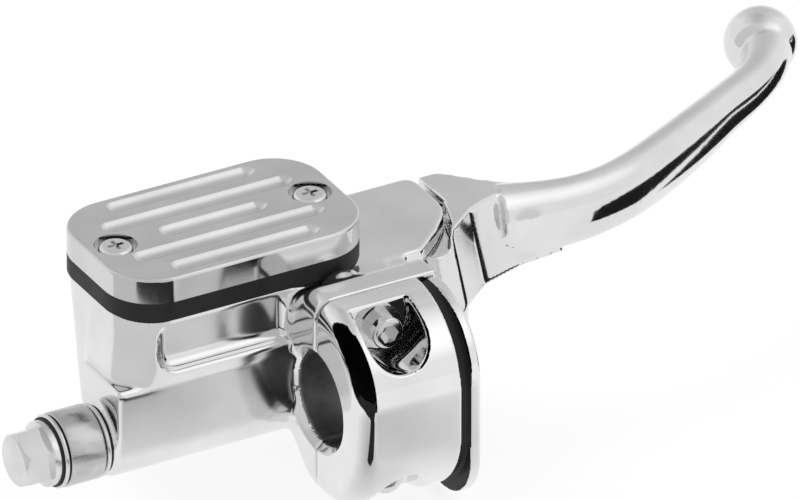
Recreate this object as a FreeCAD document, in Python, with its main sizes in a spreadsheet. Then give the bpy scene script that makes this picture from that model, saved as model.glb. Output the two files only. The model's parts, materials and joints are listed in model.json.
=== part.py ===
"""Handlebar-mounted hydraulic brake master cylinder, as an assembly of separate pieces.

Frame: millimetres. The origin is the handlebar's axis at the middle of the clamp. +X runs outboard
along the bar towards the lever's tip, +Y points forward, away from the rider, and +Z is up.
The cylinder's axis is parallel to X, and the lever's pivot is parallel to Z.
"""
import FreeCAD
import Part
import math
import os
from FreeCAD import Placement, Rotation, Vector

ALONG_X = Rotation(Vector(0, 1, 0), 90)
ALONG_Y = Rotation(Vector(1, 0, 0), -90)
UPRIGHT = Rotation()

DIMENSIONS = {
    # handlebar clamp
    "bar_radius": 12.7, "clamp_half_width": 18.35, "clamp_depth": 25.0, "clamp_top": 29.5,
    "clamp_bottom": 28.6, "split_gap": 0.7, "clamp_shoulder": 5.5, "clamp_groove_width": 3.0,
    "clamp_groove_depth": 1.6, "clamp_rim_width": 3.4, "bore_chamfer": 2.2,
    # clamp screws
    "clamp_screw_x": -2.8, "clamp_screw_z": 22.0, "clamp_screw_radius": 3.15,
    "clamp_head_radius": 4.5, "clamp_head_height": 4.6, "clamp_seat": 6.6,
    "clamp_washer_thickness": 0.9, "clamp_washer_radius": 6.2, "clamp_pocket_radius": 8.7,
    "clamp_screw_length": 21.0, "clamp_socket_radius": 2.75, "clamp_socket_depth": 2.7,
    "clamp_thread_depth": 14.0, "thread_boss_radius": 6.6, "thread_boss_length": 14.6,
    # reservoir, its gasket and cover
    "reservoir_x": -27.6, "reservoir_y": 39.0, "cover_length": 74.4, "cover_width": 46.0,
    "cover_corner": 14.3, "cover_bottom": 31.2, "cover_height": 7.3, "cover_edge": 0.9,
    "body_inset": 0.6, "gasket_proud": 0.0, "rim_z": 25.8, "reservoir_depth": 39.8,
    "reservoir_taper": 4.2, "reservoir_wall": 5.6, "cavity_floor": 4.2, "sump_floor": -8.0,
    "rim_near_wall": 16.6, "recess_left": -57.5, "recess_floor": 12.3, "recess_round": 3.0,
    "supply_port_x": -17.0, "supply_port_radius": 0.75, "relief_port_x": -28.2, "relief_port_radius": 0.4,
    "screw_boss_radius": 5.0, "screw_boss_depth": 22.0, "cover_thread_depth": 12.0,
    "cover_screw_spacing": 58.2, "cover_screw_radius": 2.4, "cover_pocket_radius": 5.8,
    "cover_pocket_depth": 2.6, "cover_head_radius": 4.7, "cover_screw_length": 17.0,
    "groove_radius": 3.2, "groove_depth": 1.6, "groove_pitch": 8.9,
    # hydraulic cylinder
    "cylinder_y": 22.5, "cylinder_z": -7.8, "cylinder_bore": 7.15, "barrel_radius": 10.6,
    "barrel_left": -70.5, "barrel_right": 12.0, "barrel_top": 10.5, "nose_left": -71.8,
    "nose_radius": 9.6, "bore_end": -50.0, "port_radius": 4.75, "port_end": -56.0,
    "mouth_radius": 8.9, "mouth_depth": 3.0, "ring_groove_radius": 8.0, "ring_groove_x": 6.2,
    "ring_thickness": 1.1,
    # lever pivot and bracket
    "core_left": -8.0, "pivot_x": 30.0, "pivot_y": 40.5, "pivot_radius": 3.95, "ear_top": 25.3,
    "upper_gap": 20.3, "lower_gap": -16.2, "ear_bottom": -22.2, "hub_top": 20.0, "hub_bottom": -15.9,
    "hub_radius": 10.8, "bushing_radius": 5.2, "running_clearance": 0.03,
    # reaction pin and pushrod
    "reaction_x": 32.35, "reaction_y": 22.65, "reaction_radius": 4.4, "heel_radius": 7.0,
    "heel_top": 4.5, "ball_radius": 10.0, "pushrod_radius": 1.9, "pushrod_seat_radius": 3.3,
    # banjo fitting
    "banjo_washer_thickness": 2.1, "banjo_washer_radius": 10.0, "collar_radius": 10.15,
    "collar_length": 10.3, "banjo_flange": 2.2, "hex_length": 7.8, "hex_size": 14.0,
    "banjo_hole": 5.1,
}

doc = FreeCAD.newDocument("brake_master_cylinder")
sheet = doc.addObject("Spreadsheet::Sheet", "Dimensions")
for row, (alias, value) in enumerate(DIMENSIONS.items(), start=1):
    sheet.set(f"A{row}", alias)
    sheet.set(f"B{row}", str(value))
    sheet.setAlias(f"B{row}", alias)
doc.recompute()


def dim(alias):
    """A driving dimension, read from the sheet."""
    return float(sheet.get(alias))


def sized(text):
    """An expression in which every dimension's alias is taken from the sheet."""
    words = []
    for word in str(text).replace("(", "( ").replace(")", " )").split():
        words.append(f"Dimensions.{word}" if word.lstrip("-") in DIMENSIONS else word)
    return " ".join(words).replace("Dimensions.-", "-Dimensions.")


def bind(item, sizes, position=(0, 0, 0), rotation=UPRIGHT):
    """Bind an object's sizes and its place to the sheet."""
    item.Placement = Placement(Vector(), rotation)
    for name, expression in sizes.items():
        item.setExpression(name, sized(expression))
    for axis, expression in zip("xyz", position):
        item.setExpression(f"Placement.Base.{axis}", sized(expression))
    return item


def cylinder(name, radius, length, position, rotation=ALONG_X):
    item = doc.addObject("Part::Cylinder", name)
    return bind(item, {"Radius": radius, "Height": length}, position, rotation)


def cone(name, radius_start, radius_end, length, position, rotation=ALONG_X):
    item = doc.addObject("Part::Cone", name)
    return bind(item, {"Radius1": radius_start, "Radius2": radius_end, "Height": length}, position, rotation)


def box(name, size, position):
    item = doc.addObject("Part::Box", name)
    return bind(item, dict(zip(("Length", "Width", "Height"), size)), position)


def sphere(name, radius, position):
    return bind(doc.addObject("Part::Sphere", name), {"Radius": radius}, position)


def fuse(name, items):
    item = doc.addObject("Part::MultiFuse", name)
    item.Shapes = items
    item.Refine = True
    return item


def cut(name, base, tools):
    tool = tools[0] if len(tools) == 1 else fuse(f"{name}_tools", tools)
    item = doc.addObject("Part::Cut", name)
    item.Base = base
    item.Tool = tool
    item.Refine = True
    return item


def common(name, base, tool):
    item = doc.addObject("Part::Common", name)
    item.Base = base
    item.Tool = tool
    return item


def round_edges(name, base, radius, wanted):
    """Round the edges of base that wanted(edge) picks, with the radius from the sheet or a number."""
    doc.recompute()
    size = dim(radius) if radius in DIMENSIONS else radius
    edges = [(number, size, size) for number, edge in enumerate(base.Shape.Edges, start=1) if wanted(edge)]
    item = doc.addObject("Part::Fillet", name)
    item.Base = base
    item.Edges = edges
    doc.recompute()
    if item.Shape.isNull() or not item.Shape.isValid():
        raise RuntimeError(f"{name}: the fillet failed on {len(edges)} edges")
    return item


def outline_edges(corners):
    """Lines and arcs through the corners (x, y, radius) of a closed outline."""
    count = len(corners)
    entries = []
    for index in range(count):
        x, y, radius = corners[index]
        here = Vector(x, y, 0)
        back = Vector(*corners[index - 1][:2], 0) - here
        ahead = Vector(*corners[(index + 1) % count][:2], 0) - here
        if radius == 0:
            entries.append((here, None, here))
            continue
        half = back.getAngle(ahead) / 2
        reach = radius / math.tan(half)
        start = here + back.normalize() * reach
        end = here + ahead.normalize() * reach
        middle_way = (back + ahead).normalize()
        middle = here + middle_way * (radius / math.sin(half) - radius)
        entries.append((start, middle, end))
    edges = []
    for index, (start, middle, end) in enumerate(entries):
        if middle is not None:
            edges.append(Part.Arc(start, middle, end))
        following = entries[(index + 1) % count][0]
        if end.distanceToPoint(following) > 1e-6:
            edges.append(Part.LineSegment(end, following))
    return edges


def prism(name, plane, corners, start, length, taper=0, downwards=False):
    """A body: an outline on one of its origin planes, moved by start and padded by length."""
    body = doc.addObject("PartDesign::Body", name)
    sketch = body.newObject("Sketcher::SketchObject", f"{name}_outline")
    support = next(item for item in body.Origin.OriginFeatures if item.Role == plane)
    sketch.AttachmentSupport = (support, [""])
    sketch.MapMode = "FlatFace"
    sketch.setExpression("AttachmentOffset.Base.z", sized(start))
    sketch.addGeometry(outline_edges(corners), False)
    pad = body.newObject("PartDesign::Pad", f"{name}_pad")
    pad.Profile = sketch
    pad.setExpression("Length", sized(length))
    pad.Reversed = downwards
    if taper:
        pad.setExpression("TaperAngle", sized(taper))
    sketch.Visibility = False
    return body


def layered(name, layers):
    """A solid stretched between outlines at several heights."""
    sections = []
    for number, (height, corners) in enumerate(layers):
        sketch = doc.addObject("Sketcher::SketchObject", f"{name}_layer_{number}")
        sketch.addGeometry(outline_edges(corners), False)
        sketch.Placement = Placement(Vector(0, 0, height), UPRIGHT)
        sections.append(sketch)
    loft = doc.addObject("Part::Loft", name)
    loft.Sections = sections
    loft.Solid = True
    loft.Ruled = True
    return loft


def rounded_rectangle(length, width, corner):
    """An oblong's four corners about the reservoir's centre."""
    x, y = dim("reservoir_x"), dim("reservoir_y")
    return [(x + side_x * length / 2, y + side_y * width / 2, corner)
            for side_x, side_y in ((1, 1), (-1, 1), (-1, -1), (1, -1))]


def cover_outline(growth):
    """The cover's outline, grown outwards by growth."""
    return rounded_rectangle(dim("cover_length") + 2 * growth, dim("cover_width") + 2 * growth,
                             dim("cover_corner") + growth)


def at_cylinder(x):
    """A point on the cylinder's axis."""
    return (x, "cylinder_y", "cylinder_z")


def screw_place(side, height):
    """A point on one of the cover screws' axes."""
    return (f"reservoir_x + cover_screw_spacing / 2 * {side}", "reservoir_y", height)


# ---------------------------------------------------------------- casting

def clamp_end_edge(edge, x, face):
    """Whether an edge is on the clamp's end face at x, but not on the split face."""
    return (all(abs(point.X - x) < 1e-6 for point in edge.Vertexes)
            and not all(abs(point.Y - face) < 1e-6 for point in edge.Vertexes))


def cavity():
    """The fluid's space: a wide upper part, and a sump beside the cylinder."""
    wall = dim("reservoir_wall")
    upper = prism("cavity_upper", "XY_Plane", cover_outline(-wall), "cavity_floor", "rim_z - cavity_floor + 1")
    x, y = dim("reservoir_x"), dim("reservoir_y")
    half_length = dim("cover_length") / 2 - wall - 5
    sump_corners = [(x + half_length, y + 14, 6), (x - half_length, y + 14, 6),
                    (x - half_length, y - 3, 6), (x + half_length, y - 3, 6)]
    sump = prism("cavity_sump", "XY_Plane", sump_corners, "sump_floor", "cavity_floor - sump_floor + 1")
    return fuse("cavity", [upper, sump])


def near_side():
    """The reservoir's near side and left corner, spreading down to the barrel, with a shallow recess."""
    right, near = dim("core_left"), dim("cylinder_y") - dim("barrel_radius")
    rim_left = dim("reservoir_x") - dim("cover_length") / 2 + dim("body_inset") + 0.3
    rim_near = dim("reservoir_y") - dim("cover_width") / 2 + dim("body_inset") + 0.3

    def layer(height, left, front, corner, back):
        return (height, [(left, front, corner), (right, front, 0), (right, back, 0), (left, back, 8)])

    spread = layered("near_side_blank", [layer(dim("barrel_top") - 8, dim("barrel_left"), near, 1.5, 36),
                                         layer(dim("barrel_top"), dim("barrel_left") + 1.5, near + 0.4, 9, 40),
                                         layer(21, rim_left - 1.4, rim_near - 2.3, 12, 44),
                                         layer(dim("rim_z") - 0.5, rim_left, rim_near, 12.9, 45)])
    left, end = dim("recess_left"), -dim("clamp_half_width")
    floor, above = dim("recess_floor"), dim("rim_z") + 14
    recess_corners = [(left, floor, 5), (end, floor, 0), (end, above, 0), (left, above, 0)]
    back = dim("rim_near_wall")
    block = prism("recess", "XZ_Plane", recess_corners, "-rim_near_wall", "clamp_depth")
    recess = round_edges("recess_rounded", block, "recess_round",
                         lambda edge: all(abs(point.Y - back) < 1e-6 for point in edge.Vertexes))
    return cut("near_side", spread, [recess])


def casting_blank():
    """Reservoir, barrel, clamp saddle and lever bracket before any hole is cut."""
    reservoir = prism("reservoir_block", "XY_Plane", cover_outline(-dim("body_inset")), "rim_z",
                      "reservoir_depth", "-reservoir_taper", downwards=True)
    near, far = dim("cylinder_y") - dim("barrel_radius"), dim("cylinder_y") + dim("barrel_radius")
    bottom = dim("cylinder_z") - dim("barrel_radius")
    barrel_corners = [(near, dim("barrel_top"), 1.6), (far, dim("barrel_top"), 1.6),
                      (far, bottom, dim("barrel_radius") - 0.1), (near, bottom, dim("barrel_radius") - 0.1)]
    barrel = prism("barrel_block", "YZ_Plane", barrel_corners, "barrel_left", "barrel_right - barrel_left")
    nose = cylinder("nose", "nose_radius", 6, at_cylinder("nose_left"))
    top, low = dim("clamp_top"), -dim("clamp_bottom")
    half_gap = dim("split_gap") / 2
    saddle_corners = [(half_gap, top, 0), (8, top, 6), (14.4, 24.8, 2), (24, 24, 5), (24, -12, 6),
                      (6, low + 0.6, 8), (half_gap, low, 0)]
    saddle = prism("clamp_saddle", "YZ_Plane", saddle_corners, "-clamp_half_width", "clamp_half_width * 2")
    shoulder = round_edges("saddle_shoulder", saddle, "clamp_shoulder",
                           lambda edge: clamp_end_edge(edge, -dim("clamp_half_width"), half_gap))
    rounded = round_edges("saddle_rounded", shoulder, 1.0,
                          lambda edge: clamp_end_edge(edge, dim("clamp_half_width"), half_gap))
    thread_bosses = [cylinder(f"thread_boss_{side + 1}", "thread_boss_radius", "thread_boss_length",
                              ("clamp_screw_x", half_gap, f"clamp_screw_z * {side}"), ALONG_Y)
                     for side in (-1, 1)]
    ear_top, ear_bottom = dim("ear_top"), dim("ear_bottom")
    core_corners = [(6, ear_top, 0), (46, ear_top, 0), (46, ear_bottom, 6), (8, ear_bottom, 8)]
    core = prism("bracket_core", "YZ_Plane", core_corners, "core_left", "barrel_right - core_left")
    return [reservoir, barrel, nose, near_side(), rounded, core] + thread_bosses


def bracket_ears():
    """The two ears that hold the lever's pivot pin."""
    left = dim("core_left")
    upper_corners = [(left, 54.2, 0), (40.4, 54.2, 3), (40.4, 35, 12), (33, 26.4, 5), (24, 18.6, 4),
                     (left, 18.6, 0)]
    upper = prism("upper_ear", "XY_Plane", upper_corners, "upper_gap", "ear_top - upper_gap")
    lower_corners = [(left, 46, 0), (14, 51, 4), (40, 51, 10), (40, 30.5, 9.5), (20, 28, 4), (8, 14, 4),
                     (left, 14, 0)]
    lower = prism("lower_ear", "XY_Plane", lower_corners, "ear_bottom", "lower_gap - ear_bottom")
    return [upper, lower]


def casting_holes():
    """Everything that is bored, drilled or milled out of the casting."""
    tools = [
        cylinder("bar_bore", "bar_radius", "clamp_half_width * 2 + 2", ("-clamp_half_width - 1", 0, 0)),
        cylinder("cylinder_bore", "cylinder_bore", "barrel_right - bore_end + 1", at_cylinder("bore_end")),
        cylinder("boot_seat", "mouth_radius", "mouth_depth + 8", at_cylinder("barrel_right - mouth_depth")),
        cylinder("ring_groove", "ring_groove_radius", "ring_thickness + 0.1",
                 at_cylinder("ring_groove_x - 0.05")),
        cylinder("outlet_port", "port_radius", "port_end - nose_left + 1", at_cylinder("nose_left - 1")),
        cylinder("outlet_passage", 1.5, "bore_end - port_end + 2", at_cylinder("port_end - 1")),
        cylinder("pivot_hole", "pivot_radius + 0.05", "ear_top - ear_bottom - 1",
                 ("pivot_x", "pivot_y", "ear_bottom - 1"), UPRIGHT),
        cylinder("supply_port", "supply_port_radius", "cavity_floor - cylinder_z + 1",
                 ("supply_port_x", "cylinder_y", "cylinder_z"), UPRIGHT),
        cylinder("relief_port", "relief_port_radius", "cavity_floor - cylinder_z + 1",
                 ("relief_port_x", "cylinder_y", "cylinder_z"), UPRIGHT),
        cavity(),
    ]
    for side in (-1, 1):
        tools.append(cylinder(f"clamp_thread_{side + 1}", "clamp_screw_radius + 0.02",
                              "clamp_thread_depth + 1",
                              ("clamp_screw_x", -1, f"clamp_screw_z * {side}"), ALONG_Y))
        tools.append(cylinder(f"cover_thread_{side + 1}", "cover_screw_radius + 0.02",
                              "cover_thread_depth + 1",
                              screw_place(side, "rim_z - cover_thread_depth"), UPRIGHT))
        start = "clamp_half_width - bore_chamfer" if side == 1 else "-clamp_half_width"
        wide, narrow = "bar_radius + bore_chamfer", "bar_radius"
        ends = (narrow, wide) if side == 1 else (wide, narrow)
        tools.append(cone(f"bore_mouth_{side + 1}", *ends, "bore_chamfer", (start, 0, 0)))
    return tools


def master_cylinder_body():
    blank = fuse("casting_blank", casting_blank() + bracket_ears())
    bosses = [cylinder(f"cover_screw_boss_{side + 1}", "screw_boss_radius", "screw_boss_depth",
                       screw_place(side, "rim_z - screw_boss_depth"), UPRIGHT)
              for side in (-1, 1)]
    holes = casting_holes()
    threads = [hole for hole in holes if hole.Name.startswith("cover_thread")]
    milled = cut("milled_casting", blank, [hole for hole in holes if hole not in threads])
    with_bosses = fuse("casting_with_bosses", [milled] + bosses)
    return cut("master_cylinder_body", with_bosses, threads)


# ---------------------------------------------------------------- reservoir cover

GROOVE_LENGTHS = (44, 57, 32, 57, 44)


def groove_tool(number, length):
    """A ball-nosed cutter's track along X."""
    centre_y = f"reservoir_y + groove_pitch * {number - 2}"
    centre_z = "cover_bottom + cover_height + groove_radius - groove_depth"
    half = length / 2
    ends = [sphere(f"groove_end_{number}_{side + 1}", "groove_radius",
                   (f"reservoir_x + {half * side} - groove_radius * {0.85 * side}", centre_y, centre_z))
            for side in (-1, 1)]
    run = cylinder(f"groove_run_{number}", "groove_radius", f"{length} - groove_radius * 1.7",
                   (f"reservoir_x - {half} + groove_radius * 0.85", centre_y, centre_z))
    return fuse(f"groove_{number}", ends + [run])


def reservoir_cover():
    block = prism("cover_block", "XY_Plane", cover_outline(0), "cover_bottom", "cover_height")
    top = dim("cover_bottom") + dim("cover_height")
    rounded = round_edges("cover_rounded", block, "cover_edge",
                          lambda edge: all(abs(point.Point.z - top) < 1e-6 for point in edge.Vertexes))
    tools = [groove_tool(number, length) for number, length in enumerate(GROOVE_LENGTHS)]
    for side in (-1, 1):
        tools.append(cylinder(f"cover_pocket_{side + 1}", "cover_pocket_radius", "cover_pocket_depth + 1",
                              screw_place(side, "cover_bottom + cover_height - cover_pocket_depth"), UPRIGHT))
        tools.append(cylinder(f"cover_hole_{side + 1}", "cover_screw_radius + 0.2", 20,
                              screw_place(side, "cover_bottom - 5"), UPRIGHT))
    return cut("reservoir_cover", rounded, tools)


def cover_gasket():
    """A thick rubber plate with a hanging bellows tray in its middle."""
    plate = prism("gasket_plate", "XY_Plane", cover_outline(dim("gasket_proud")), "rim_z",
                  "cover_bottom - rim_z")
    x, y = dim("reservoir_x"), dim("reservoir_y")

    def tray(name, half_length, half_width, start, length):
        corners = [(x + side_x * half_length, y + side_y * half_width, 6)
                   for side_x, side_y in ((1, 1), (-1, 1), (-1, -1), (1, -1))]
        return prism(name, "XY_Plane", corners, start, length)

    outside = tray("tray_outside", 22.5, 15.0, "rim_z - 9", 10)
    inside = tray("tray_inside", 21.0, 13.5, "rim_z - 7.6", 20)
    holes = [cylinder(f"gasket_hole_{side + 1}", "cover_screw_radius + 0.2", 20,
                      screw_place(side, "rim_z - 5"), UPRIGHT) for side in (-1, 1)]
    return cut("cover_gasket", fuse("gasket_blank", [plate, outside]), [inside] + holes)


def cover_screw(side):
    """An oval-headed screw with a cross recess."""
    seat = "cover_bottom + cover_height - cover_pocket_depth"
    head = cylinder(f"cover_head_{side + 1}", "cover_head_radius", 2.5, screw_place(side, seat), UPRIGHT)
    top = dim("cover_bottom") + dim("cover_height") - dim("cover_pocket_depth") + 2.5
    rounded = round_edges(f"cover_head_rounded_{side + 1}", head, 1.5,
                          lambda edge: len(edge.Vertexes) == 1 and abs(edge.Vertexes[0].Z - top) < 1e-6)
    shank = cylinder(f"cover_shank_{side + 1}", "cover_screw_radius", "cover_screw_length",
                     screw_place(side, f"{seat} - cover_screw_length"), UPRIGHT)
    x = f"reservoir_x + cover_screw_spacing / 2 * {side}"
    slots = [box(f"cross_slot_{side + 1}_{number}", (length, width, 3),
                 (f"{x} - {length / 2}", f"reservoir_y - {width / 2}", f"{seat} + 0.9"))
             for number, (length, width) in enumerate(((4.6, 1.1), (1.1, 4.6)))]
    return cut(f"cover_screw_{side + 1}", fuse(f"cover_screw_blank_{side + 1}", [rounded, shank]), slots)


def group(name, items):
    """Several separate solids in one node."""
    item = doc.addObject("Part::Compound", name)
    item.Links = items
    return item


# ---------------------------------------------------------------- handlebar clamp

def cap_outline(inset):
    """The cap's outline across the bar, moved inwards by inset."""
    near, top, low = -dim("clamp_depth") + inset, dim("clamp_top") - inset, -dim("clamp_bottom") + inset
    face = -dim("split_gap") / 2
    return [(face, top, 0), (near, top, 23.5 - inset), (near, low, 22 - inset), (face, low, 0)]


def clamp_cap():
    block = prism("cap_block", "YZ_Plane", cap_outline(0), "-clamp_half_width", "clamp_half_width * 2")
    face = -dim("split_gap") / 2
    shoulder = round_edges("cap_shoulder", block, "clamp_shoulder",
                           lambda edge: clamp_end_edge(edge, -dim("clamp_half_width"), face))
    rim_start = "clamp_half_width - clamp_rim_width"
    rim_corners = [(face, dim("clamp_top") - 1.2, 0), (-24.0, dim("clamp_top") - 1.2, 21), (-24.0, -30.5, 15),
                   (face, -30.5, 0)]
    rim_block = prism("cap_rim_block", "YZ_Plane", rim_corners, rim_start, "clamp_rim_width")
    rim = round_edges("cap_rim", rim_block, 1.0,
                      lambda edge: clamp_end_edge(edge, dim("clamp_half_width"), face))
    trimmed = cut("cap_trimmed", shoulder, [box("cap_end", (20, 80, 80), (rim_start, -60, -40))])
    solid = fuse("cap_solid", [trimmed, rim])
    groove_start = "clamp_half_width - clamp_rim_width - clamp_groove_width"
    groove_block = prism("cap_groove_block", "YZ_Plane", cap_outline(-3), groove_start, "clamp_groove_width")
    groove_core = prism("cap_groove_core", "YZ_Plane", cap_outline(dim("clamp_groove_depth")),
                        groove_start, "clamp_groove_width")
    tools = [cut("cap_groove", groove_block, [groove_core]),
             cylinder("cap_bore", "bar_radius", "clamp_half_width * 2 + 2", ("-clamp_half_width - 1", 0, 0)),
             cone("cap_mouth_0", "bar_radius + bore_chamfer", "bar_radius", "bore_chamfer",
                  ("-clamp_half_width", 0, 0)),
             cone("cap_mouth_2", "bar_radius", "bar_radius + bore_chamfer", "bore_chamfer",
                  ("clamp_half_width - bore_chamfer", 0, 0))]
    for side in (-1, 1):
        height = f"(clamp_screw_z + 2) * {side}"
        tools.append(cylinder(f"cap_pocket_{side + 1}", "clamp_pocket_radius", 40,
                              ("clamp_screw_x - 0.6", "-clamp_seat - 40", height), ALONG_Y))
        low = "clamp_screw_z + 2" if side == 1 else "-clamp_screw_z - 2 - 20"
        tools.append(box(f"cap_pocket_mouth_{side + 1}", ("clamp_pocket_radius * 2", 40, 20),
                         ("clamp_screw_x - 0.6 - clamp_pocket_radius", "-clamp_seat - 40", low)))
        tools.append(cylinder(f"cap_hole_{side + 1}", "clamp_screw_radius + 0.25", 20,
                              ("clamp_screw_x", -15, f"clamp_screw_z * {side}"), ALONG_Y))
    return cut("clamp_cap", solid, tools)


def clamp_screw(side):
    """A socket-head screw along +Y, with its head in the cap's pocket."""
    place_z = f"clamp_screw_z * {side}"
    under_head = "-clamp_seat - clamp_washer_thickness"
    head = cylinder(f"clamp_head_{side + 1}", "clamp_head_radius", "clamp_head_height",
                    ("clamp_screw_x", f"{under_head} - clamp_head_height", place_z), ALONG_Y)
    top = -dim("clamp_seat") - dim("clamp_washer_thickness") - dim("clamp_head_height")
    rounded = round_edges(f"clamp_head_rounded_{side + 1}", head, 0.9,
                          lambda edge: len(edge.Vertexes) == 1 and abs(edge.Vertexes[0].Y - top) < 1e-6)
    shank = cylinder(f"clamp_shank_{side + 1}", "clamp_screw_radius", "clamp_screw_length",
                     ("clamp_screw_x", under_head, place_z), ALONG_Y)
    socket = doc.addObject("Part::Prism", f"clamp_socket_{side + 1}")
    bind(socket, {"Circumradius": "clamp_socket_radius", "Height": "clamp_socket_depth + 1"},
         ("clamp_screw_x", f"{under_head} - clamp_head_height - 1", place_z), ALONG_Y)
    socket.Polygon = 6
    return cut(f"clamp_screw_{side + 1}", fuse(f"clamp_screw_blank_{side + 1}", [rounded, shank]), [socket])


def clamp_washer(side):
    place = ("clamp_screw_x", "-clamp_seat - clamp_washer_thickness", f"clamp_screw_z * {side}")
    thickness = "clamp_washer_thickness"
    disc = cylinder(f"washer_disc_{side + 1}", "clamp_washer_radius", thickness, place, ALONG_Y)
    hole = cylinder(f"washer_hole_{side + 1}", "clamp_screw_radius + 0.15", thickness, place, ALONG_Y)
    return cut(f"clamp_washer_{side + 1}", disc, [hole])


# ---------------------------------------------------------------- lever and pivot

# Sections along the blade: x, y, heading in degrees, half height, half thickness, height of the centre
BLADE = [(58.2, 38.9, -14, 10.4, 8.0, 14.3), (69.9, 36.4, -6, 10.0, 6.9, 14.0),
         (80.5, 35.7, 3, 9.7, 6.3, 13.7), (91.6, 37.7, 15, 9.4, 6.3, 13.5),
         (102.9, 41.9, 25, 9.3, 6.5, 13.4), (114.1, 47.6, 29, 9.0, 6.5, 13.4),
         (126.4, 54.6, 31, 8.4, 6.3, 13.4), (137.8, 61.6, 32, 7.5, 5.9, 13.4),
         (149.2, 68.5, 34, 6.7, 5.7, 13.4), (158.3, 74.9, 42, 6.4, 5.9, 13.4),
         (164.8, 82.1, 56, 6.9, 6.6, 13.4), (168.4, 89.1, 75, 7.6, 7.4, 13.4)]
BALL_HEIGHT = 13.4
BALL = (168.7, 91.6)


def lever_blade():
    """A loft through upright ellipses that follow the blade's path."""
    sections = []
    for number, (x, y, heading, half_height, half_thickness, height) in enumerate(BLADE):
        section = doc.addObject("Part::Ellipse", f"blade_section_{number}")
        section.MajorRadius = half_height
        section.MinorRadius = half_thickness
        turned = Rotation(Vector(0, 0, 1), heading).multiply(ALONG_X)
        section.Placement = Placement(Vector(x, y, height), turned)
        sections.append(section)
    loft = doc.addObject("Part::Loft", "blade_loft")
    loft.Sections = sections
    loft.Solid = True
    return loft


def lever_root():
    """The root: its flat top outside the ear, its sloping near side, and the part that passes under the ear."""
    low = [(26.2, 15.6, 6), (36.5, 16.8, 5), (47.4, 25.4, 6), (60, 29.8, 8), (74, 31.4, 0),
           (74, 41.2, 0), (64, 42.2, 6), (56, 47.4, 5), (47, 53.6, 5), (31, 52.4, 8),
           (19.3, 48.5, 8), (19.3, 34, 6), (25, 29, 3)]
    high = [(27.5, 20, 4), (35.4, 23.6, 3), (45.5, 31.6, 5), (56.5, 36.8, 6), (74, 36.9, 0),
            (74, 39.6, 0), (64, 41.2, 6), (56.4, 45.8, 5), (47, 53.4, 5), (31, 52.4, 8),
            (19.3, 48.5, 8), (19.3, 34, 6), (25, 29, 3)]
    root = layered("root_blank", [(4.4, low), (dim("ear_top") - 0.3, high)])
    clearance_corners = [(10, 60, 0), (41.6, 60, 0), (42.2, 39.5, 3), (37.8, 27.2, 0), (29, 14, 0), (10, 14, 0)]
    clearance = prism("ear_clearance", "XY_Plane", clearance_corners, "hub_top", 10)
    fall_corners = [(50, 25.1, 0), (76, 26, 0), (76, 21.9, 0)]
    fall = prism("root_fall", "XZ_Plane", fall_corners, -60, 40)
    return cut("root_trimmed", root, [clearance, fall])


def brake_lever():
    hub = cylinder("lever_hub", "hub_radius", "hub_top - hub_bottom",
                   ("pivot_x", "pivot_y", "hub_bottom"), UPRIGHT)
    heel = cylinder("lever_heel", "heel_radius", "heel_top - hub_bottom",
                    ("reaction_x", "reaction_y", "hub_bottom"), UPRIGHT)
    web_corners = [(dim("reaction_x") + 6.2, 22, 0), (38, 42, 0), (22.5, 42, 0),
                   (dim("reaction_x") - 6.4, 22, 0)]
    web = prism("heel_web", "XY_Plane", web_corners, "hub_bottom", "heel_top - hub_bottom")
    ball = sphere("lever_ball", "ball_radius", (*BALL, BALL_HEIGHT))
    solid = fuse("lever_blank", [lever_blade(), hub, heel, web, ball, lever_root()])
    bores = [cylinder("bushing_hole", "bushing_radius", 60, ("pivot_x", "pivot_y", -30), UPRIGHT),
             cylinder("reaction_hole", "reaction_radius", 36, ("reaction_x", "reaction_y", -30), UPRIGHT),
             cone("pushrod_hole", "pushrod_radius + 3.5", "pushrod_radius + 1.5", 20,
                  ("reaction_x - 20", "reaction_y", "cylinder_z"))]
    return cut("brake_lever", solid, bores)


def lever_bushing():
    place = ("pivot_x", "pivot_y", "hub_bottom + 0.1")
    sleeve = cylinder("bushing_sleeve", "bushing_radius", "hub_top - hub_bottom - 0.2", place, UPRIGHT)
    hole = cylinder("bushing_bore", "pivot_radius + running_clearance", "hub_top - hub_bottom", place, UPRIGHT)
    return cut("lever_bushing", sleeve, [hole])


def pivot_pin():
    base = ("pivot_x", "pivot_y", "ear_bottom - 2.4")
    shaft = cylinder("pin_shaft", "pivot_radius", "ear_top - ear_bottom + 0.2", base, UPRIGHT)
    outside = cylinder("pin_groove_outside", "pivot_radius + 1", 0.9,
                       ("pivot_x", "pivot_y", "ear_bottom - 1.2"), UPRIGHT)
    core = cylinder("pin_groove_core", "pivot_radius - 0.8", 0.9,
                    ("pivot_x", "pivot_y", "ear_bottom - 1.2"), UPRIGHT)
    return cut("pivot_pin", shaft, [cut("pin_groove", outside, [core])])


def pivot_clip():
    place = ("pivot_x", "pivot_y", "ear_bottom - 1.1")
    ring = cylinder("clip_ring", "pivot_radius + 2.6", 0.7, place, UPRIGHT)
    hole = cylinder("clip_hole", "pivot_radius - 0.75", 0.7, place, UPRIGHT)
    gap = box("clip_gap", (8, 3.2, 2), ("pivot_x", "pivot_y - 1.6", "ear_bottom - 1.7"))
    return cut("pivot_clip", ring, [hole, gap])


def reaction_pin():
    """A barrel pin with a blind socket for the pushrod's tip."""
    barrel = cylinder("reaction_barrel", "reaction_radius - 0.02", 19,
                      ("reaction_x", "reaction_y", "hub_bottom + 0.5"), UPRIGHT)
    socket = cylinder("reaction_socket", "pushrod_seat_radius", 12,
                      ("reaction_x + 1.4 - 12", "reaction_y", "cylinder_z"))
    return cut("reaction_pin", barrel, [socket])


# ---------------------------------------------------------------- hydraulic parts

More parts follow.
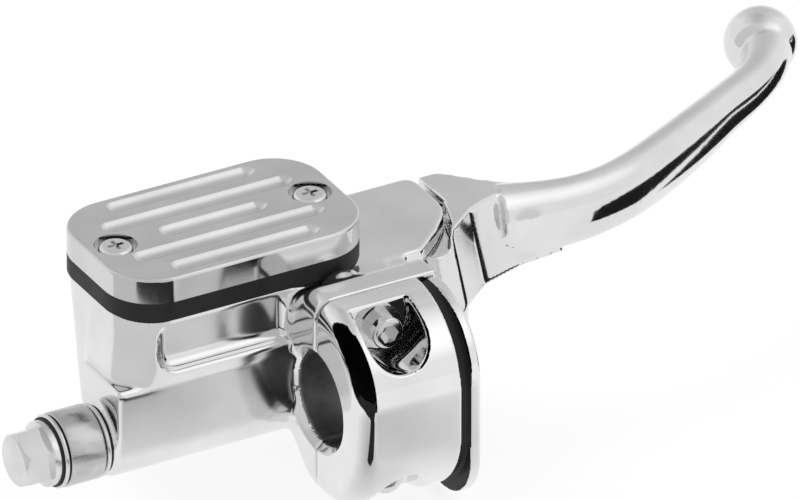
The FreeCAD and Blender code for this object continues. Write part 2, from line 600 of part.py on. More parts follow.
def turned(name, steps):
    """A turned piece on the cylinder's axis: steps of (name, start, end, radius)."""
    return fuse(name, [cylinder(f"{name}_{step}", radius, f"{end - start}", at_cylinder(start))
                       for step, start, end, radius in steps])


def piston():
    body = turned("piston_blank", [("front_land", -22, -19, dim("cylinder_bore") - 0.03),
                                   ("waist", -19, -3, 4.6),
                                   ("middle_land", -3, -1, dim("cylinder_bore") - 0.03),
                                   ("seal_core", -1, 2, 5.2),
                                   ("rear_land", 2, 4.8, dim("cylinder_bore") - 0.03)])
    socket = cylinder("piston_socket", "pushrod_radius + 0.02", 5, at_cylinder(0.8))
    return cut("piston", body, [socket])


def primary_cup():
    disc = cylinder("cup_disc", "cylinder_bore - 0.03", 3.4, at_cylinder(-25.5))
    hollow = cone("cup_hollow", 5.9, 4.8, 1.9, at_cylinder(-25.5))
    return cut("primary_cup", disc, [hollow])


def secondary_cup():
    ring = cylinder("rear_seal_ring", "cylinder_bore - 0.03", 2.6, at_cylinder(-0.8))
    core = cylinder("rear_seal_core", 5.22, 2.6, at_cylinder(-0.8))
    lip = cone("rear_seal_lip", 6.5, 5.22, 1.2, at_cylinder(-0.8))
    return cut("secondary_cup", ring, [core, lip])


def spring_retainer():
    return turned("spring_retainer", [("plate", -24.9, -23.6, 4.7), ("neck", -27.6, -24.9, 3.6)])


def return_spring():
    """A compression coil swept along a helix."""
    coil_radius, wire_radius, start, end = 4.9, 0.55, -49.3, -25.5
    helix = doc.addObject("Part::Helix", "spring_helix")
    helix.Radius = coil_radius
    helix.Pitch = (end - start) / 8
    helix.Height = end - start
    helix.Placement = Placement(Vector(start, dim("cylinder_y"), dim("cylinder_z")), ALONG_X)
    wire = doc.addObject("Part::Circle", "spring_wire")
    wire.Radius = wire_radius
    place = Vector(start, dim("cylinder_y"), dim("cylinder_z") - coil_radius)
    wire.Placement = Placement(place, Rotation(Vector(1, 0, 0), 90))
    sweep = doc.addObject("Part::Sweep", "return_spring")
    sweep.Sections = [wire]
    sweep.Spine = (helix, ["Edge1"])
    sweep.Solid = True
    sweep.Frenet = True
    return sweep


def piston_stop_washer():
    disc = cylinder("stop_disc", "cylinder_bore - 0.03", 1.0, at_cylinder(5.15))
    return cut("piston_stop_washer", disc, [cylinder("stop_hole", 4.4, 1.0, at_cylinder(5.15))])


def bore_snap_ring():
    place = at_cylinder("ring_groove_x")
    ring = cylinder("snap_ring", "ring_groove_radius - 0.05", "ring_thickness", place)
    hole = cylinder("snap_ring_hole", 5.8, "ring_thickness", place)
    gap = box("snap_ring_gap", (2, 5, 12), ("ring_groove_x - 0.5", "cylinder_y - 2.5", "cylinder_z - 12"))
    return cut("bore_snap_ring", ring, [hole, gap])


def dust_boot():
    """A rubber bellows from the cylinder's mouth to the pushrod."""
    rim = dim("mouth_radius") - 0.02
    outside = turned("boot_outside", [("rim", 9.05, 12.8, rim), ("fold", 12.8, 14.2, 6.2),
                                      ("second_fold", 14.2, 15.6, 7.0), ("lip", 15.6, 17.2, 4.2)])
    around_rod = dim("pushrod_radius") + 0.08
    inside = turned("boot_inside", [("well", 9.05, 11.6, 7.4), ("neck", 11.6, 14.2, 5.0),
                                    ("chamber", 14.2, 15.0, 5.6), ("rod_hole", 15.0, 17.2, around_rod)])
    return cut("dust_boot", outside, [inside])


def pushrod():
    rod = cylinder("pushrod_shank", "pushrod_radius", "reaction_x - 1 - 0.9", at_cylinder(0.9))
    tip = sphere("pushrod_tip", "pushrod_radius", ("reaction_x - 1", "cylinder_y", "cylinder_z"))
    collar = cylinder("pushrod_collar", 4.1, 1.6, at_cylinder(5.4))
    return fuse("pushrod", [rod, tip, collar])


# ---------------------------------------------------------------- outlet fitting

def banjo_x(washers, collars):
    """A station on the fitting, counted outwards from the nose."""
    return f"nose_left - banjo_washer_thickness * {washers} - collar_length * {collars}"


def banjo_washer(name, start):
    disc = cylinder(f"{name}_disc", "banjo_washer_radius", "banjo_washer_thickness", at_cylinder(start))
    hole = cylinder(f"{name}_hole", "banjo_hole", "banjo_washer_thickness", at_cylinder(start))
    return cut(name, disc, [hole])


def banjo_collar():
    ring = cylinder("collar_ring", "collar_radius", "collar_length", at_cylinder(banjo_x(1, 1)))
    hole = cylinder("collar_hole", "banjo_hole", "collar_length", at_cylinder(banjo_x(1, 1)))
    gallery = cylinder("collar_gallery", 7.2, 4.4, at_cylinder(f"{banjo_x(1, 1)} + 2.95"))
    return cut("banjo_collar", ring, [hole, gallery])


def banjo_bolt():
    flange_x = f"{banjo_x(2, 1)} - banjo_flange"
    shank = cylinder("bolt_shank", "port_radius - 0.02", 29, at_cylinder(banjo_x(2, 1)))
    flange = cylinder("bolt_flange", 8.9, "banjo_flange", at_cylinder(flange_x))
    hexagon = doc.addObject("Part::Prism", "bolt_hexagon")
    bind(hexagon, {"Circumradius": "hex_size / 2 / cos(30)", "Height": "hex_length"},
         at_cylinder(f"{flange_x} - hex_length"), ALONG_X)
    hexagon.Polygon = 6
    crown = cone("bolt_crown", 6.6, 14.8, "hex_length", at_cylinder(f"{flange_x} - hex_length"))
    head = common("bolt_head", hexagon, crown)
    passage = cylinder("bolt_passage", 2.1, 24, at_cylinder(f"{banjo_x(2, 1)} + 5.2"))
    cross = cylinder("bolt_cross_hole", 1.4, 20,
                     (f"{banjo_x(1, 1)} + collar_length / 2", "cylinder_y", "cylinder_z - 10"), UPRIGHT)
    return cut("banjo_bolt", fuse("banjo_bolt_blank", [shank, flange, head]), [passage, cross])


# ---------------------------------------------------------------- assembly

def build_nodes():
    nodes = [master_cylinder_body(), reservoir_cover(), cover_gasket(),
             group("cover_screws", [cover_screw(side) for side in (-1, 1)]),
             clamp_cap(),
             group("clamp_screws", [clamp_screw(side) for side in (-1, 1)]),
             group("clamp_washers", [clamp_washer(side) for side in (-1, 1)]),
             brake_lever(), lever_bushing(), pivot_pin(), pivot_clip(), reaction_pin(),
             pushrod(), piston(), primary_cup(), secondary_cup(), spring_retainer(), return_spring(),
             piston_stop_washer(), bore_snap_ring(), dust_boot(),
             banjo_bolt(), banjo_collar(),
             banjo_washer("banjo_washer_inner", banjo_x(1, 0)),
             banjo_washer("banjo_washer_outer", banjo_x(2, 1))]
    for node in nodes:
        node.Label = node.Name
    return nodes


def write_nodes(nodes):
    """Check the whole document, then write each node's STEP file."""
    doc.recompute()
    failed = [item.Name for item in doc.Objects if {"Invalid", "Error"} & set(item.State)]
    for node in nodes:
        if node.Shape.isNull() or not node.Shape.isValid() or not node.Shape.Solids:
            failed.append(node.Name)
    if failed:
        raise RuntimeError(f"failed objects: {failed}")
    os.makedirs("parts", exist_ok=True)
    for node in nodes:
        node.Shape.exportStep(f"parts/{node.Label}.step")
        print(f"{node.Label}: {len(node.Shape.Solids)} solids, {node.Shape.Volume / 1000:.2f} cm3")


write_nodes(build_nodes())
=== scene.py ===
"""Studio picture of the brake master cylinder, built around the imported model.

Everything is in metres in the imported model's frame: the origin is the handlebar's axis at the middle
of the clamp, +X runs outboard along the bar, +Y points forward and +Z is up.
"""
import json
import math

import bmesh
import bpy
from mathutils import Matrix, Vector

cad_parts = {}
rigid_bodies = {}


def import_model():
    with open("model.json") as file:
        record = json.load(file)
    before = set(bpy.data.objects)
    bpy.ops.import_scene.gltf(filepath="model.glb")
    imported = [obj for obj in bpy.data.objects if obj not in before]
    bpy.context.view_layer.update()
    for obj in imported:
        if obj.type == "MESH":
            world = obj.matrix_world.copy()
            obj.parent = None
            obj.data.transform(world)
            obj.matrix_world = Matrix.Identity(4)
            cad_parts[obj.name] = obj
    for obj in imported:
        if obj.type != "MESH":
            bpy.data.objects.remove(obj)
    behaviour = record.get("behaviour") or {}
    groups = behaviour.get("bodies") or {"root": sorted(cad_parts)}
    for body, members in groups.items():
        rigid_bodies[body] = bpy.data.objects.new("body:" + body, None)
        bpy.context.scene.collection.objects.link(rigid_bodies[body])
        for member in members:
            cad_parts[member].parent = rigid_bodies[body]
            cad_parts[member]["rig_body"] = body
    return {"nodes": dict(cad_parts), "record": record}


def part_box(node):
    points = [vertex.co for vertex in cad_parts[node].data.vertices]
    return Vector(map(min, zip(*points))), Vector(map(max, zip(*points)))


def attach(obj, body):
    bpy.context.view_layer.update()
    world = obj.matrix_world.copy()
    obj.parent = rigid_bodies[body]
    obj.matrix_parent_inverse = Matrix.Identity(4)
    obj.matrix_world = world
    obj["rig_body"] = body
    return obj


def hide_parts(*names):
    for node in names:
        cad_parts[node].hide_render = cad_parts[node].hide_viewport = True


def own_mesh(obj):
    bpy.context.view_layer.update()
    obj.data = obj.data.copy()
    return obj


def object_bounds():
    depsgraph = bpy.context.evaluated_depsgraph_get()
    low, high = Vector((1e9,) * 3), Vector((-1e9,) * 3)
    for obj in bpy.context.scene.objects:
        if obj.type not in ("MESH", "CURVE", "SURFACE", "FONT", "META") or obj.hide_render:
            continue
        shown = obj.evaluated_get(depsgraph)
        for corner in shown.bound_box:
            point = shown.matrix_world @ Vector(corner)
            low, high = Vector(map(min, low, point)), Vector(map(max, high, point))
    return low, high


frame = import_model()
CAD_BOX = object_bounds()
NODES = frame["nodes"]
SLOTS = {part["node"]: part["material_slot"] for part in frame["record"]["subparts"]}

MM = 0.001

# Vertices closer than this are one
SEAM = 0.002 * MM

# The clamp: its bore, the slack for finding the bore's faces, and the groove round its outboard end
BAR_RADIUS = 12.7 * MM
BORE_SLACK = 0.25 * MM
CLAMP_HALF_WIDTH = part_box("clamp_cap")[1].x
GROOVE = (CLAMP_HALF_WIDTH - 6.6 * MM, CLAMP_HALF_WIDTH - 3.2 * MM)
GROOVE_INSIDE = BAR_RADIUS + 5 * MM

# Rounding of the castings: the size of the cells that a piece is rebuilt from, and rounds of smoothing
BODY_CELL, BODY_ROUNDS = 0.65 * MM, 5
CAP_CELL, CAP_ROUNDS = 0.4 * MM, 8
LEVER_CELL, LEVER_ROUNDS = 0.5 * MM, 8

# The view: heading from +Y and tilt in degrees, the width that the frame covers, and its middle's place
VIEW_HEADING, VIEW_TILT = -29, 29.5
FRAME_WIDTH = 210.526 * MM
FRAME_RIGHT, FRAME_UP = 6.16 * MM, 35.37 * MM
LENS, SENSOR_WIDTH = 1000, 36

# The table. Its soft shadows: centre and reach in millimetres, and depth
FLOOR_Z = CAD_BOX[0].z - 0.4 * MM
FLOOR_REACH = 6.0
TABLE_GLOW = 0.95
SHADOWS = [((-38, -60), 62, 0.45), ((12, -80), 58, 0.3)]

# Dark cards lying on the table: name, corners in millimetres, glow, and height above it in millimetres
CARDS = [
    ("lever_card", [(118, -8), (150, 12), (200, 18), (250, 24), (360, 42), (900, 110), (900, -60),
                    (420, -150), (300, -125), (200, -90), (160, -62)], 0.01, 0.5),
    ("lever_card_far", [(160, 34), (212, 40), (250, 42), (360, 62), (560, 94), (520, 150), (300, 130),
                        (200, 86)], 0.01, 0.5),
    ("corner_card", [(-163, -32), (-128, -62), (-92, -80), (-52, -84), (-20, -80), (29, -262),
                     (-167, -284), (-308, -133)], 0.02, 0.9),
    ("corner_strip", [(-43, -53), (-38, -91), (-14, -85), (-27, -49)], 0.02, 1.1),
]

# The side of the room in front of the clamp, with headings in degrees from +X towards +Y. Its floor is part
# of a ring round a centre, in millimetres. Its wall is part of a dome: radius in metres, heights in degrees
ROOM_FLOOR = {"centre": (-20, 0), "radius": 118, "reach": 5500, "start": 150, "end": 284}
ROOM_FLOOR_GLOW = 0.68
ROOM_WALL = {"radius": 3.0, "start": 147, "end": 284, "low": -1, "high": 80}
ROOM_WALL_GLOW = 0.7

# The world's brightness, and its soft lights and shades: heading and height in degrees, reach in degrees,
# change of brightness. The camera sees one plain tone
WORLD_TONE, BACKDROP_TONE = 0.9, 0.95
ROOM_TONES = [((61, 29), 40, -0.28), ((-48, 52), 34, 0.35), ((100, 62), 30, -0.2), ((10, 78), 38, -0.22)]
MIX_COLOUR_INPUTS = (6, 7)


def direction_to(heading, height):
    """The unit vector at a heading (degrees from +X towards +Y) and a height (degrees above level)."""
    heading, height = math.radians(heading), math.radians(height)
    return Vector((math.cos(heading) * math.cos(height), math.sin(heading) * math.cos(height),
                   math.sin(height)))


def placed(name, data):
    """A new object in the scene."""
    item = bpy.data.objects.new(name, data)
    bpy.context.scene.collection.objects.link(item)
    return item


# ---------------------------------------------------------------- shader helpers

def add(tree, kind, **settings):
    """A shader node with some of its properties set."""
    node = tree.nodes.new(kind)
    for key, value in settings.items():
        setattr(node, key, value)
    return node


def link(tree, source, target):
    tree.links.new(source, target)


def object_coordinates(tree, scale=(1, 1, 1), turn=(0, 0, 0)):
    """The piece's own coordinates in metres, scaled."""
    place = add(tree, "ShaderNodeTexCoord")
    mapping = add(tree, "ShaderNodeMapping")
    mapping.inputs["Scale"].default_value = scale
    mapping.inputs["Rotation"].default_value = turn
    link(tree, place.outputs["Object"], mapping.inputs["Vector"])
    return mapping.outputs["Vector"]


def noise(tree, vector, size, detail=2.0, roughness=0.5):
    """Noise whose features are about size metres across."""
    node = add(tree, "ShaderNodeTexNoise")
    node.inputs["Scale"].default_value = 1 / size
    node.inputs["Detail"].default_value = detail
    node.inputs["Roughness"].default_value = roughness
    link(tree, vector, node.inputs["Vector"])
    return node.outputs["Fac"]


def ramp(tree, factor, stops):
    """A colour ramp through (position, grey or colour) stops."""
    node = add(tree, "ShaderNodeValToRGB")
    band = node.color_ramp
    while len(band.elements) < len(stops):
        band.elements.new(0.5)
    for element, (position, colour) in zip(band.elements, stops):
        element.position = position
        element.color = (*colour, 1) if isinstance(colour, tuple) else (colour, colour, colour, 1)
    link(tree, factor, node.inputs["Fac"])
    return node.outputs["Color"]


def spread(tree, factor, low, high, start=0.3, end=0.7):
    """Map a factor between start and end onto low to high."""
    node = add(tree, "ShaderNodeMapRange")
    node.inputs["From Min"].default_value = start
    node.inputs["From Max"].default_value = end
    node.inputs["To Min"].default_value = low
    node.inputs["To Max"].default_value = high
    link(tree, factor, node.inputs["Value"])
    return node.outputs["Result"]


def maths(tree, operation, first, second):
    """One operation on two numbers or sockets."""
    node = add(tree, "ShaderNodeMath", operation=operation)
    for socket, value in zip(node.inputs, (first, second)):
        if isinstance(value, (int, float)):
            socket.default_value = value
        else:
            link(tree, value, socket)
    return node.outputs[0]


def bump(tree, height, depth, below=None):
    """A bump of depth metres, on top of another normal."""
    node = add(tree, "ShaderNodeBump")
    node.inputs["Distance"].default_value = depth
    node.inputs["Strength"].default_value = 1.0
    link(tree, height, node.inputs["Height"])
    if below is not None:
        link(tree, below, node.inputs["Normal"])
    return node.outputs["Normal"]


def mixed(tree, first, second, share):
    """Two factors added up, the first with this share of the weight."""
    one = maths(tree, "MULTIPLY", first, share)
    other = maths(tree, "MULTIPLY", second, 1 - share)
    return maths(tree, "ADD", one, other)


def new_material(name):
    """A material, its node tree and its shader."""
    material = bpy.data.materials.new(name)
    material.use_nodes = True
    shader = material.node_tree.nodes["Principled BSDF"]
    return material, material.node_tree, shader


# ---------------------------------------------------------------- materials

def plated(name, bright, dull, smooth, worn, wave, grain):
    """Bright plating: slight tarnish, roughness that varies, slow waves and fine polishing marks."""
    material, tree, shader = new_material(name)
    place = object_coordinates(tree)
    patches = noise(tree, place, 18 * MM, 3)
    link(tree, ramp(tree, patches, [(0.3, dull), (0.65, bright)]), shader.inputs["Base Color"])
    strokes = object_coordinates(tree, (0.25, 1.4, 1.0), (0.3, 0.5, 0.2))
    marks = noise(tree, strokes, 0.5 * MM, 4, 0.65)
    haze = mixed(tree, patches, marks, 0.6)
    link(tree, spread(tree, haze, smooth, worn), shader.inputs["Roughness"])
    shader.inputs["Metallic"].default_value = 1.0
    normal = bump(tree, noise(tree, place, 9 * MM, 1), wave)
    link(tree, bump(tree, marks, grain, normal), shader.inputs["Normal"])
    return material


def polish_rim(material, smooth):
    """Make the upright faces of a material smoother than its brushed top."""
    tree = material.node_tree
    rough = tree.nodes["Principled BSDF"].inputs["Roughness"]
    brushed = rough.links[0].from_socket
    parts = add(tree, "ShaderNodeSeparateXYZ")
    link(tree, add(tree, "ShaderNodeNewGeometry").outputs["True Normal"], parts.inputs["Vector"])
    share = spread(tree, parts.outputs["Z"], smooth, 1, 0.2, 0.6)
    link(tree, maths(tree, "MULTIPLY", brushed, share), rough)


def turned_metal(name, bright, dull, smooth, worn, pitch, depth):
    """A machined face with rings about the X axis through the cylinder."""
    material, tree, shader = new_material(name)
    lines = noise(tree, object_coordinates(tree, (1, 0.02, 0.02)), pitch, 2, 0.7)
    patches = noise(tree, object_coordinates(tree), 5 * MM, 3)
    link(tree, ramp(tree, patches, [(0.3, dull), (0.7, bright)]), shader.inputs["Base Color"])
    link(tree, spread(tree, mixed(tree, patches, lines, 0.5), smooth, worn), shader.inputs["Roughness"])
    shader.inputs["Metallic"].default_value = 1.0
    link(tree, bump(tree, lines, depth), shader.inputs["Normal"])
    return material


def rubber_and_painted_shade(name, dark, light):
    """Moulded rubber with a fine grain and a little bloom; also the painted shade in the clamp cap's groove.
    """
    material, tree, shader = new_material(name)
    place = object_coordinates(tree)
    bloom = noise(tree, place, 7 * MM, 4, 0.6)
    grain = noise(tree, place, 0.25 * MM, 3, 0.6)
    link(tree, ramp(tree, bloom, [(0.3, dark), (0.75, light)]), shader.inputs["Base Color"])
    link(tree, spread(tree, bloom, 0.42, 0.62), shader.inputs["Roughness"])
    shader.inputs["Specular IOR Level"].default_value = 0.25
    link(tree, bump(tree, grain, 0.02 * MM), shader.inputs["Normal"])
    return material


MATERIALS = {
    "chrome_casting": plated("chrome_casting", 0.86, 0.78, 0.035, 0.075, 0.012 * MM, 0.0006 * MM),
    "chrome_cover": plated("chrome_cover", 0.7, 0.62, 0.18, 0.28, 0.01 * MM, 0.002 * MM),
    "chrome_lever": plated("chrome_lever", 0.81, 0.74, 0.06, 0.12, 0.012 * MM, 0.0008 * MM),
    "screw_chrome": plated("screw_chrome", 0.8, 0.66, 0.1, 0.2, 0.0, 0.002 * MM),
    "plated_steel": plated("plated_steel", 0.78, 0.62, 0.16, 0.26, 0.0, 0.001 * MM),
    "pin_steel": plated("pin_steel", 0.74, 0.6, 0.12, 0.24, 0.0, 0.002 * MM),
    "spring_steel": plated("spring_steel", 0.5, 0.36, 0.25, 0.4, 0.0, 0.002 * MM),
    "collar_steel": turned_metal("collar_steel", 0.62, 0.5, 0.2, 0.32, 0.35 * MM, 0.0015 * MM),
    "retainer_steel": turned_metal("retainer_steel", 0.6, 0.5, 0.25, 0.4, 0.3 * MM, 0.003 * MM),
    "anodised_piston": turned_metal("anodised_piston", (0.62, 0.5, 0.26), (0.5, 0.4, 0.2), 0.25, 0.4,
                                    0.25 * MM, 0.003 * MM),
    "bushing_bronze": turned_metal("bushing_bronze", (0.72, 0.52, 0.3), (0.56, 0.38, 0.2), 0.3, 0.45,
                                   0.3 * MM, 0.003 * MM),
    "gasket_rubber": rubber_and_painted_shade("gasket_rubber", 0.012, 0.02),
    "boot_rubber": rubber_and_painted_shade("boot_rubber", 0.008, 0.018),
    "seal_rubber": rubber_and_painted_shade("seal_rubber", 0.007, 0.016),
}

# Finishes of parts of the castings, with painted shade in the clamp cap's groove
SATIN_CHROME = plated("satin_chrome_casting", 0.82, 0.74, 0.1, 0.16, 0.008 * MM, 0.0008 * MM)
# The bore's turned metal, darkened with painted shade for the inside of the handlebar hole
BORE_METAL_AND_SHADE = turned_metal("bored_metal_and_painted_shade", 0.34, 0.24, 0.3, 0.5, 0.4 * MM, 0.004 * MM)
# Painted shade: a black matt material standing in for the shade and dark reflection in the clamp cap's
# groove
PAINTED_GROOVE_SHADE = rubber_and_painted_shade("painted_groove_shade", 0.008, 0.016)


def paint_nodes():
    """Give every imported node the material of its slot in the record."""
    for node, slot in SLOTS.items():
        mesh = NODES[node].data
        mesh.materials.clear()
        mesh.materials.append(MATERIALS[slot])


# ---------------------------------------------------------------- rounded castings

def merged_copy(node, name):
    """A new object with the node's mesh, its split seams joined."""
    mesh = NODES[node].data.copy()
    work = bmesh.new()
    work.from_mesh(mesh)
    bmesh.ops.remove_doubles(work, verts=work.verts, dist=SEAM)
    work.to_mesh(mesh)
    work.free()
    return placed(name, mesh)


def softened(node, name, voxel, rounds, finish=None):
    """A copy of a node with every edge rounded as casting, polishing and plating leave it."""
    item = merged_copy(node, name)
    remesh = item.modifiers.new("remesh", "REMESH")
    remesh.mode = "VOXEL"
    remesh.voxel_size = voxel
    smooth = item.modifiers.new("smooth", "SMOOTH")
    smooth.factor = 0.5
    smooth.iterations = rounds
    graph = bpy.context.evaluated_depsgraph_get()
    mesh = bpy.data.meshes.new_from_object(item.evaluated_get(graph))
    item.modifiers.clear()
    item.data = mesh
    mesh.materials.clear()
    mesh.materials.append(finish or MATERIALS[SLOTS[node]])
    mesh.shade_smooth()
    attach(item, NODES[node]["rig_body"])
    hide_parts(node)
    return item


def refinish(item, material, wanted):
    """Give the faces whose centre is wanted another material."""
    mesh = item.data
    mesh.materials.append(material)
    number = len(mesh.materials) - 1
    for face in mesh.polygons:
        if wanted(face.center):
            face.material_index = number


def in_bore(centre):
    """Whether a face is on the clamp's bore."""
    return math.hypot(centre.y, centre.z) < BAR_RADIUS + BORE_SLACK and abs(centre.x) < CLAMP_HALF_WIDTH


def in_groove(centre):
    """Whether a face is in the groove round the clamp cap's outboard end."""
    return GROOVE[0] < centre.x < GROOVE[1] and math.hypot(centre.y, centre.z) > GROOVE_INSIDE


# ---------------------------------------------------------------- return spring

def closing_spring():
    """The return spring as a smooth copy with a mesh of its own; the real spring shortens towards its fixed
    end as the piston slides.
    """
    item = merged_copy("return_spring", "closing_spring")
    item.data.shade_smooth()
    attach(item, NODES["return_spring"]["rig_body"])
    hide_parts("return_spring")
    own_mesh(item)


# ---------------------------------------------------------------- outlet fitting

def turned_piece(name, node, profile, materials, steps=96):
    """A ring about the node's middle line along X, through (x, radius, material number) points."""
    low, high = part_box(node)
    middle = (Vector(low) + Vector(high)) / 2
    work = bmesh.new()
    turns = [2 * math.pi * step / steps for step in range(steps)]
    rings = []
    for x, radius, _ in profile:
        points = [(x, middle.y + radius * math.cos(turn), middle.z + radius * math.sin(turn))
                  for turn in turns]
        rings.append([work.verts.new(point) for point in points])
    for index, ring in enumerate(rings):
        following = rings[(index + 1) % len(rings)]
        for step in range(steps):
            after = (step + 1) % steps
            face = work.faces.new((ring[step], ring[after], following[after], following[step]))
            face.material_index = profile[index][2]
            face.smooth = True
    bmesh.ops.recalc_face_normals(work, faces=work.faces)
    mesh = bpy.data.meshes.new(name)
    work.to_mesh(mesh)
    work.free()
    for material in materials:
        mesh.materials.append(material)
    item = placed(name, mesh)
    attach(item, NODES[node]["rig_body"])
    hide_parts(node)


def sealing_washer(node):
    """A bright crush washer with a black rubber face on each side."""
    low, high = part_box(node)
    start, end = low.x, high.x
    outer, hole = (high.y - low.y) / 2, 5.1 * MM
    rubber_face, drop, edge = 0.5 * MM, 0.55 * MM, 0.25 * MM
    profile = [(start, hole, 0), (start, outer - drop, 0), (start + rubber_face, outer - drop, 1),
               (start + rubber_face, outer - edge, 1), (start + rubber_face + edge, outer, 1),
               (end - rubber_face - edge, outer, 1), (end - rubber_face, outer - edge, 1),
               (end - rubber_face, outer - drop, 0), (end, outer - drop, 0), (end, hole, 1)]
    turned_piece(f"{node}_bonded", node, profile, (MATERIALS["seal_rubber"], MATERIALS[SLOTS[node]]))


def rounded_edges(node, width):
    """Break a node's sharp edges with small rounds."""
    item = NODES[node]
    weld = item.modifiers.new("weld", "WELD")
    weld.merge_threshold = SEAM
    bevel = item.modifiers.new("rounds", "BEVEL")
    bevel.width = width
    bevel.segments = 3
    bevel.limit_method = "ANGLE"
    bevel.angle_limit = math.radians(35)
    bevel.harden_normals = True


# ---------------------------------------------------------------- studio

def stage_piece(name, points, faces, material):
    """A piece of the studio, which isn't part of the object."""
    mesh = bpy.data.meshes.new(name)
    mesh.from_pydata(points, [], faces)
    mesh.materials.append(material)
    item = placed(name, mesh)
    return item


def sheet(name, corners, material):
    """A flat stage piece through its corners."""
    return stage_piece(name, corners, [tuple(range(len(corners)))], material)


def reflections_only(item):
    """Let only reflections see a stage piece."""
    item.visible_camera = False
    item.visible_shadow = False
    item.visible_diffuse = False
    item.visible_transmission = False


def lights_all_but(item, excluded):
    """Let an emitting stage piece light everything except some pieces."""
    receivers = bpy.data.collections.new(f"{item.name}_receivers")
    for piece in excluded:
        receivers.objects.link(piece)
    for entry in receivers.collection_objects:
        entry.light_linking.link_state = "EXCLUDE"
    item.light_linking.receiver_collection = receivers


def black_material(name):
    """A black material that can only glow white."""
    material, tree, shader = new_material(name)
    shader.inputs["Base Color"].default_value = (0, 0, 0, 1)
    shader.inputs["Specular IOR Level"].default_value = 0.0
    shader.inputs["Emission Color"].default_value = (1, 1, 1, 1)
    return material, tree, shader


def glow(name, strength):
    """An even white glow."""
    material, _, shader = black_material(name)
    shader.inputs["Emission Strength"].default_value = strength
    return material


def paper(name, grey, glow_strength):
    """Slightly uneven matt paper, lit from within."""
    material, tree, shader = new_material(name)
    place = object_coordinates(tree)
    shade = noise(tree, place, 120 * MM, 3)
    link(tree, ramp(tree, shade, [(0.3, grey * 0.985), (0.7, grey)]), shader.inputs["Base Color"])
    shader.inputs["Roughness"].default_value = 0.9
    shader.inputs["Specular IOR Level"].default_value = 0.1
    shader.inputs["Emission Color"].default_value = (1, 1, 1, 1)
    shader.inputs["Emission Strength"].default_value = glow_strength
    return material


def square(z):
    """The corners of the whole floor at a height."""
    return [(x * FLOOR_REACH, y * FLOOR_REACH, z) for x, y in ((-1, -1), (1, -1), (1, 1), (-1, 1))]


def floor():
    """One floor for the camera, nearly white, and one for reflections, darker where the object shades it."""
    seen = sheet("floor", square(FLOOR_Z - 0.2 * MM), paper("floor_paper", 0.16, 0.83))
    seen.visible_glossy = False
    seen.visible_diffuse = False
    seen.visible_shadow = False
    reflections_only(sheet("reflected_floor", square(FLOOR_Z), table_tone()))


def table_tone():
    """White paper as the metal reflects it: the object's soft shadows lie in front of the clamp."""
    material, tree, shader = black_material("table_tone")
    place = add(tree, "ShaderNodeTexCoord").outputs["Object"]
    shades = []
    for (x, y), reach, depth in SHADOWS:
        offset = add(tree, "ShaderNodeVectorMath", operation="DISTANCE")
        offset.inputs[1].default_value = (x * MM, y * MM, FLOOR_Z)
        link(tree, place, offset.inputs[0])
        shades.append(spread(tree, offset.outputs["Value"], depth, 0, 0.15 * reach * MM, reach * MM))
    shade = shades[0]
    for extra in shades[1:]:
        shade = maths(tree, "MAXIMUM", shade, extra)
    link(tree, maths(tree, "SUBTRACT", TABLE_GLOW, shade), shader.inputs["Emission Strength"])
    return material


def dark_patch(name, corners, strength, rise):
    """An area just above the table that only reflections see, with corners and rise in millimetres."""
    points = [(x * MM, y * MM, FLOOR_Z + rise * MM) for x, y in corners]
    patch = sheet(name, points, glow(f"{name}_tone", strength))
    reflections_only(patch)
    return patch


def ring_sector(centre, radius, reach, start, end, steps=24):
    """The corners of a flat sector between two radii and two headings."""
    turns = [math.radians(start + (end - start) * step / steps) for step in range(steps + 1)]
    arcs = [[(centre[0] + size * math.cos(turn), centre[1] + size * math.sin(turn)) for turn in turns]
            for size in (radius, reach)]
    return arcs[0] + arcs[1][::-1]


def dome_sector(name, radius, start, end, low, high, material, steps=24):
    """Part of a sphere about the origin, between two headings and two heights in degrees."""
    points = [direction_to(start + (end - start) * column / steps, low + (high - low) * row / steps) * radius
              for row in range(steps + 1) for column in range(steps + 1)]
    span = steps + 1
    corners = [row * span + column for row in range(steps) for column in range(steps)]
    faces = [(corner, corner + 1, corner + span + 1, corner + span) for corner in corners]
    return stage_piece(name, points, faces, material)


def dark_surroundings(polished):
    """The side of the room in front of the clamp, and dark cards beside the lever and the cover's corner.

    That side of the room glows for every piece but the polished ones, which reflect it as black.
    """
    room = dark_patch("room_floor", ring_sector(**ROOM_FLOOR), ROOM_FLOOR_GLOW, 0.5)
    wall = dome_sector("room_wall", **ROOM_WALL, material=glow("room_wall_tone", ROOM_WALL_GLOW))
    reflections_only(wall)
    for item in (room, wall):
        lights_all_but(item, polished)
    for card in CARDS:
        dark_patch(*card)


def world():
    """Pale light from all round, darker behind the object and overhead, brighter above its near side."""
    made = bpy.data.worlds.new("studio")
    bpy.context.scene.world = made
    made.use_nodes = True
    tree = made.node_tree
    background = tree.nodes["Background"]
    direction = add(tree, "ShaderNodeTexCoord").outputs["Generated"]
    tone = WORLD_TONE
    for (heading, height), reach, change in ROOM_TONES:
        dot = add(tree, "ShaderNodeVectorMath", operation="DOT_PRODUCT")
        dot.inputs[1].default_value = direction_to(heading, height)
        link(tree, direction, dot.inputs[0])
        patch = spread(tree, dot.outputs["Value"], 0, change, math.cos(math.radians(reach)), 1)
        tone = maths(tree, "ADD", tone, patch)
    camera_ray = add(tree, "ShaderNodeLightPath").outputs["Is Camera Ray"]
    mix = add(tree, "ShaderNodeMix", data_type="RGBA")
    link(tree, camera_ray, mix.inputs["Factor"])
    lit, seen = (mix.inputs[number] for number in MIX_COLOUR_INPUTS)
    link(tree, tone, lit)
    seen.default_value = (BACKDROP_TONE, BACKDROP_TONE, BACKDROP_TONE, 1)
    link(tree, mix.outputs[2], background.inputs["Color"])


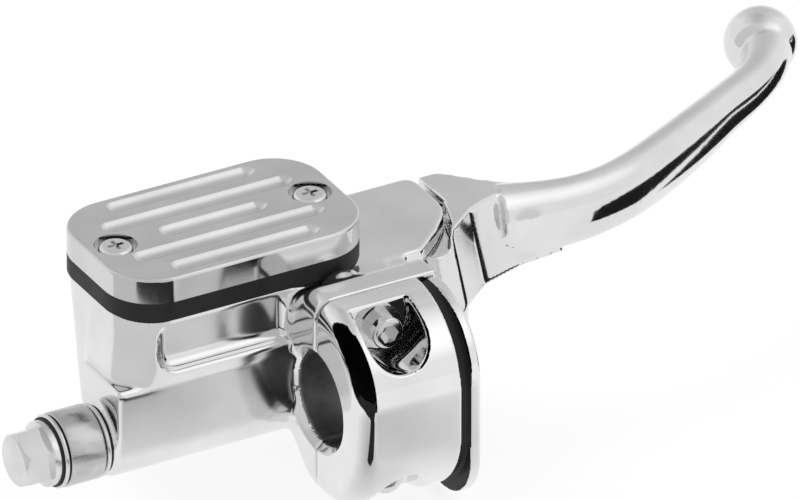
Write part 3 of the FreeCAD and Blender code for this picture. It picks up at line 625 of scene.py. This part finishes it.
def softbox(name, position, target, size, power):
    """A soft rectangular light that reflections don't show."""
    light = bpy.data.lights.new(name, "AREA")
    light.shape = "RECTANGLE"
    light.size, light.size_y = size
    light.energy = power
    item = placed(name, light)
    item.location = position
    item.rotation_euler = (Vector(target) - Vector(position)).to_track_quat("-Z", "Y").to_euler()
    item.visible_glossy = False


def lights():
    """A softbox behind the object, and a weak one at its right."""
    softbox("back_softbox", (-0.35, 0.95, 1.0), (-0.02, 0.03, 0), (0.8, 0.6), 8)
    softbox("right_softbox", (0.9, -0.1, 0.5), (0.02, 0.03, 0), (0.5, 0.5), 1)


def camera():
    """The view from the left and above, nearly parallel."""
    ahead = direction_to(VIEW_HEADING + 90, -VIEW_TILT)
    right = direction_to(VIEW_HEADING, 0)
    up = right.cross(ahead)
    data = bpy.data.cameras.new("camera")
    data.lens, data.sensor_width = LENS, SENSOR_WIDTH
    data.clip_start, data.clip_end = 0.05, 50
    item = placed("camera", data)
    distance = FRAME_WIDTH * LENS / SENSOR_WIDTH
    item.location = right * FRAME_RIGHT + up * FRAME_UP - ahead * distance
    item.rotation_mode = "QUATERNION"
    item.rotation_quaternion = ahead.to_track_quat("-Z", "Y")
    bpy.context.scene.camera = item


polish_rim(MATERIALS["chrome_cover"], 0.4)
paint_nodes()
casting = softened("master_cylinder_body", "casting", BODY_CELL, BODY_ROUNDS, SATIN_CHROME)
# The bore's faces get dark turned metal with painted shade
refinish(casting, BORE_METAL_AND_SHADE, in_bore)
cap = softened("clamp_cap", "clamp_cap_casting", CAP_CELL, CAP_ROUNDS)
# The cap's bore faces get the same dark metal with painted shade
refinish(cap, BORE_METAL_AND_SHADE, in_bore)
# The groove's faces get the painted shade
refinish(cap, PAINTED_GROOVE_SHADE, in_groove)
softened("brake_lever", "lever_forging", LEVER_CELL, LEVER_ROUNDS)
closing_spring()
for washer in ("banjo_washer_inner", "banjo_washer_outer"):
    sealing_washer(washer)
for node, width in (("banjo_collar", 0.5 * MM), ("banjo_bolt", 0.35 * MM)):
    rounded_edges(node, width)
world()
floor()
dark_surroundings([cap])
lights()
camera()
bpy.context.scene.view_settings.view_transform = "Standard"
